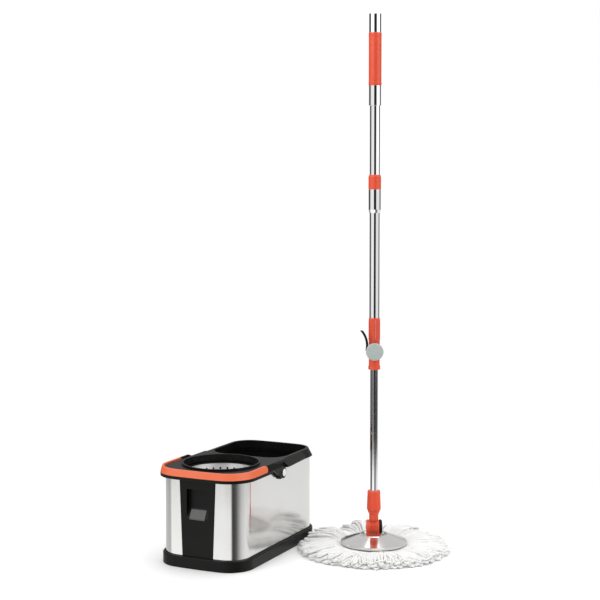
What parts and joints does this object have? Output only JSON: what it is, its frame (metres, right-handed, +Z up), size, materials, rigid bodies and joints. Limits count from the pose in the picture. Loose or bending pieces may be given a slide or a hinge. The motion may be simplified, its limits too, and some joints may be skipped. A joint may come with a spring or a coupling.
{
  "type": "spin mop with wringing bucket",
  "caption": "Spin mop standing beside a long steel-skinned bucket with a spinning wringer basket, a wash well and a folding bail.",
  "frame": {"origin": "centre of the bucket's underside, on the floor", "axes": "+Z up; +X across the bucket towards the mop; -Y out of the bucket's front face with the grip niche"},
  "size_m": [0.5971, 0.5245, 1.285],
  "materials": {
    "black_plastic": "satin moulded",
    "steel_sheet": "bright brushed sheet",
    "grey_badge": "plain grey plate",
    "amber_plastic": "moulded light orange",
    "orange_plastic": "moulded orange",
    "silver_cap": "polished",
    "basket_steel": "bright pressed sheet",
    "pin_steel": "plain steel",
    "chrome_tube": "polished chrome",
    "dish_steel": "polished pressed sheet",
    "white_plastic": "natural moulded",
    "grey_cap": "silver-grey moulded",
    "rod_steel": "twisted bar",
    "microfibre": "looped white strands"
  },
  "bodies": {
    "bucket": {"base_tray": "black_plastic", "inner_tub": "black_plastic", "steel_skin": "steel_sheet", "front_panel": "black_plastic", "badge_plate": "grey_badge", "top_deck": "black_plastic", "bail_pins": "pin_steel", "bail_pin_caps": "silver_cap", "basket_post": "black_plastic", "basket_axle": "pin_steel"},
    "basket": {"basket_ring": "black_plastic", "basket_bowl": "basket_steel", "basket_cone": "black_plastic", "basket_bearing": "white_plastic"},
    "bail": {"bail_frame": "black_plastic", "bail_grip": "amber_plastic"},
    "refill": {"refill_ring": "white_plastic", "microfibre": "microfibre"},
    "mop_head": {"mop_plate": "white_plastic", "steel_dish": "dish_steel", "fork_base": "orange_plastic", "tilt_pin": "pin_steel", "tilt_pin_cap": "black_plastic", "plate_screws": "pin_steel"},
    "lower_pole": {"swivel_sleeve": "orange_plastic", "inner_tube": "chrome_tube", "sleeve_rivet": "pin_steel", "drive_nut": "white_plastic"},
    "bush": {"guide_bush": "white_plastic"},
    "handle": {"lock_collar": "orange_plastic", "lever_pin": "pin_steel", "lock_cap": "grey_cap", "outer_tube": "chrome_tube", "twist_rod": "rod_steel", "rod_anchor": "white_plastic", "anchor_screw": "pin_steel", "socket_tube": "chrome_tube", "joint_insert": "white_plastic", "coupling_collar": "orange_plastic", "middle_tube": "chrome_tube", "upper_insert": "white_plastic", "handle_tube": "chrome_tube", "grip_sleeve": "orange_plastic", "top_cap": "chrome_tube"},
    "lever": {"lock_lever": "black_plastic"}
  },
  "joints": [
    {"name": "basket_spin", "type": "hinge", "parent": "bucket", "child": "basket", "pos_m": [0, -0.095, 0.184], "axis": [0, 0, 1], "continuous": true},
    {"name": "bail_swing", "type": "hinge", "parent": "bucket", "child": "bail", "pos_m": [0, -0.006, 0.197], "axis": [-1, 0, 0], "range_deg": [0, 88]},
    {"name": "mop_lift", "type": "slide", "parent": "bucket", "child": "refill", "axis": [0, 0, 1], "range_m": [0, 0.45]},
    {"name": "refill_release", "type": "slide", "parent": "refill", "child": "mop_head", "axis": [0, 0, 1], "range_m": [0, 0.06]},
    {"name": "head_tilt", "type": "hinge", "parent": "mop_head", "child": "lower_pole", "pos_m": [0.297, 0.128, 0.055], "axis": [0.9003, 0.4352, 0], "range_deg": [-80, 80]},
    {"name": "handle_press", "type": "slide", "parent": "lower_pole", "child": "bush", "axis": [0, 0, -1], "range_m": [0, 0.22]},
    {"name": "handle_twist", "type": "hinge", "parent": "bush", "child": "handle", "pos_m": [0.297, 0.128, 0.5], "axis": [0, 0, -1], "range_deg": [0, 1000]},
    {"name": "lever_swing", "type": "hinge", "parent": "handle", "child": "lever", "pos_m": [0.30418, 0.11314, 0.482], "axis": [0.4352, -0.9003, 0], "range_deg": [0, 90]}
  ],
  "couplings": [
    {"joint": "handle_twist", "follows": "handle_press", "rad_per_m": 78.54}
  ]
}
